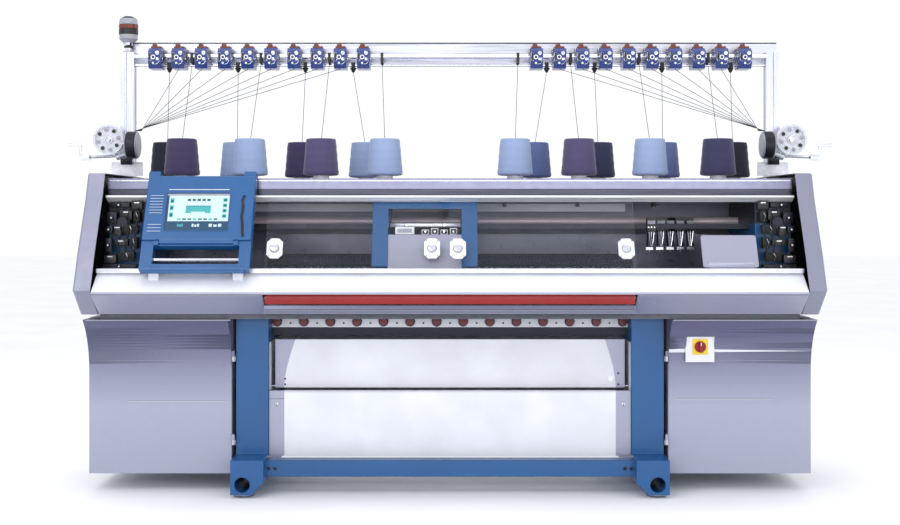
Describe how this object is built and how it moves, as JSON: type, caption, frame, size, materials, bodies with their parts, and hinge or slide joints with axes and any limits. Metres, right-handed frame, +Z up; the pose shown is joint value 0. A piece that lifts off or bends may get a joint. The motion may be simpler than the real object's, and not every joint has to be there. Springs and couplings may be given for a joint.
{
  "type": "flat knitting machine",
  "caption": "Wide V-bed flat knitting machine with sliding clear hoods, bridge carriage, tilting control terminal, side cabinets and an overhead yarn beam with cones.",
  "frame": {"origin": "middle of the footprint, on the floor", "axes": "+X to the right along the needle beds, +Y to the rear, +Z up"},
  "size_m": [3.31, 0.91, 1.998],
  "materials": {
    "blue_paint": "semi-gloss blue powder coat",
    "grey_cover": "metallic lilac grey enamel",
    "lilac_cover": "metallic lilac grey enamel",
    "white_paint": "white enamel",
    "red_paint": "gloss red",
    "cast_grey": "machined and painted casting",
    "bed_steel": "ground steel",
    "bright_steel": "hard chrome",
    "dark_metal": "black oxide and dark paint",
    "aluminium": "clear anodised",
    "clear_pane": "clear sheet with polished edges",
    "black_rubber": "matt",
    "black_plastic": "fine texture",
    "white_plastic": "smooth",
    "blue_plastic": "moulded",
    "maroon_plastic": "moulded",
    "screen_glass": "display behind a clear front",
    "yarn": "wound yarn"
  },
  "bodies": {
    "frame": {"side_stands": "blue_paint", "crossbars": "blue_paint", "levelling_feet": "black_rubber", "machine_bed": "cast_grey", "front_needle_bed": "bed_steel", "end_caps": "grey_cover", "front_ledge": "white_paint", "front_apron": "lilac_cover", "hood_tracks": "aluminium", "rail_brackets": "blue_paint", "guide_rails": "bright_steel", "yarn_rail": "white_paint", "inner_covers": "lilac_cover", "drive_belt": "black_rubber", "drive_motor": "dark_metal", "bearing_plates": "cast_grey", "takedown_channel": "white_paint", "takedown_screws": "maroon_plastic", "fabric_bin": "white_paint", "bin_panel": "white_paint", "cabinets": "grey_cover", "cabinet_electrics": "dark_metal", "cabinet_hinges": "bright_steel", "yarn_shelf": "lilac_cover", "cone_holders": "white_plastic", "yarn_cones": "yarn", "yarn_posts": "aluminium", "yarn_beam": "aluminium", "tension_units": "blue_plastic", "guide_eyes": "black_plastic", "signal_lamp": "grey_cover", "yarn_feeders": "dark_metal", "supply_yarns": "yarn", "rear_cover": "grey_cover", "terminal_bracket": "blue_paint"},
    "carriage": {"carriage_bridge": "blue_paint", "carriage_cams": "dark_metal", "carriage_cover": "lilac_cover"},
    "drive_pulley_body": {"drive_pulley": "bed_steel"},
    "idler_pulley_body": {"idler_pulley": "bed_steel"},
    "left_hood_body": {"left_hood": "clear_pane"},
    "right_hood_body": {"right_hood": "clear_pane"},
    "left_door_body": {"left_door": "lilac_cover"},
    "right_door_body": {"right_door": "lilac_cover"},
    "switch": {"switch_knob": "red_paint"},
    "engaging_bar_body": {"engaging_bar": "red_paint"},
    "terminal": {"terminal_housing": "blue_paint", "terminal_screen": "screen_glass"},
    "flap": {"fabric_flap": "white_paint"},
    "lock": {"flap_lock": "bright_steel"},
    "rear_bed": {"rear_needle_bed": "bed_steel"},
    "roller_front": {"takedown_roller_front": "bed_steel"},
    "roller_rear": {"takedown_roller_rear": "bed_steel"},
    "wheel_left": {"left_feeder_wheel": "white_plastic"},
    "wheel_right": {"right_feeder_wheel": "white_plastic"},
    "carrier_1": {"yarn_carrier_1": "dark_metal"},
    "carrier_2": {"yarn_carrier_2": "dark_metal"},
    "carrier_3": {"yarn_carrier_3": "dark_metal"},
    "carrier_4": {"yarn_carrier_4": "dark_metal"},
    "carrier_5": {"yarn_carrier_5": "dark_metal"}
  },
  "joints": [
    {"name": "carriage_slide", "type": "slide", "parent": "frame", "child": "carriage", "axis": [1, 0, 0], "range_m": [-0.89, 1.09]},
    {"name": "drive_pulley_spin", "type": "hinge", "parent": "frame", "child": "drive_pulley_body", "pos_m": [1.325, 0.238, 0.84], "axis": [0, 1, 0], "range_deg": [-1292, 1581]},
    {"name": "idler_pulley_spin", "type": "hinge", "parent": "frame", "child": "idler_pulley_body", "pos_m": [-1.325, 0.238, 0.84], "axis": [0, 1, 0], "range_deg": [-1292, 1581]},
    {"name": "left_hood_slide", "type": "slide", "parent": "frame", "child": "left_hood_body", "axis": [1, 0, 0], "range_m": [0, 0.7]},
    {"name": "right_hood_slide", "type": "slide", "parent": "frame", "child": "right_hood_body", "axis": [1, 0, 0], "range_m": [-0.7, 0.6]},
    {"name": "left_door_hinge", "type": "hinge", "parent": "frame", "child": "left_door_body", "pos_m": [-0.8755, -0.235, 0.39], "axis": [0, 0, 1], "range_deg": [0, 90]},
    {"name": "right_door_hinge", "type": "hinge", "parent": "frame", "child": "right_door_body", "pos_m": [0.8755, -0.235, 0.39], "axis": [0, 0, -1], "range_deg": [0, 90]},
    {"name": "main_switch_turn", "type": "hinge", "parent": "right_door_body", "child": "switch", "pos_m": [1.008, -0.246, 0.588], "axis": [0, 1, 0], "range_deg": [0, 90]},
    {"name": "engaging_bar_turn", "type": "hinge", "parent": "frame", "child": "engaging_bar_body", "pos_m": [0, -0.393, 0.795], "axis": [1, 0, 0], "range_deg": [-10, 10], "stiffness_Nm_per_rad": 20},
    {"name": "terminal_tilt", "type": "hinge", "parent": "frame", "child": "terminal", "pos_m": [-0.995, -0.39103, 1.01079], "axis": [1, 0, 0], "range_deg": [0, 25]},
    {"name": "flap_tilt", "type": "hinge", "parent": "frame", "child": "flap", "pos_m": [0, -0.149, 0.418], "axis": [1, 0, 0], "range_deg": [0, 60]},
    {"name": "flap_lock_turn", "type": "hinge", "parent": "flap", "child": "lock", "pos_m": [0.658, -0.155, 0.45], "axis": [0, -1, 0], "range_deg": [0, 90]},
    {"name": "rear_bed_racking", "type": "slide", "parent": "frame", "child": "rear_bed", "axis": [1, 0, 0], "range_m": [-0.05, 0.05]},
    {"name": "takedown_roller_front_spin", "type": "hinge", "parent": "frame", "child": "roller_front", "pos_m": [0, -0.046, 0.79], "axis": [1, 0, 0], "continuous": true},
    {"name": "takedown_roller_rear_spin", "type": "hinge", "parent": "frame", "child": "roller_rear", "pos_m": [0, 0.006, 0.79], "axis": [1, 0, 0], "continuous": true},
    {"name": "left_feeder_wheel_spin", "type": "hinge", "parent": "frame", "child": "wheel_left", "pos_m": [-1.487, 0.18, 1.447], "axis": [0, 1, 0], "continuous": true},
    {"name": "right_feeder_wheel_spin", "type": "hinge", "parent": "frame", "child": "wheel_right", "pos_m": [1.487, 0.18, 1.447], "axis": [0, 1, 0], "continuous": true},
    {"name": "yarn_carrier_1_slide", "type": "slide", "parent": "frame", "child": "carrier_1", "axis": [1, 0, 0], "range_m": [-1.85, 0.15]},
    {"name": "yarn_carrier_2_slide", "type": "slide", "parent": "frame", "child": "carrier_2", "axis": [1, 0, 0], "range_m": [-1.85, 0.15]},
    {"name": "yarn_carrier_3_slide", "type": "slide", "parent": "frame", "child": "carrier_3", "axis": [1, 0, 0], "range_m": [-1.85, 0.15]},
    {"name": "yarn_carrier_4_slide", "type": "slide", "parent": "frame", "child": "carrier_4", "axis": [1, 0, 0], "range_m": [-1.85, 0.15]},
    {"name": "yarn_carrier_5_slide", "type": "slide", "parent": "frame", "child": "carrier_5", "axis": [1, 0, 0], "range_m": [-1.85, 0.15]}
  ],
  "couplings": [
    {"joint": "drive_pulley_spin", "follows": "carriage_slide", "rad_per_m": 25.221},
    {"joint": "idler_pulley_spin", "follows": "carriage_slide", "rad_per_m": 25.221},
    {"joint": "takedown_roller_rear_spin", "follows": "takedown_roller_front_spin", "ratio": -1}
  ]
}
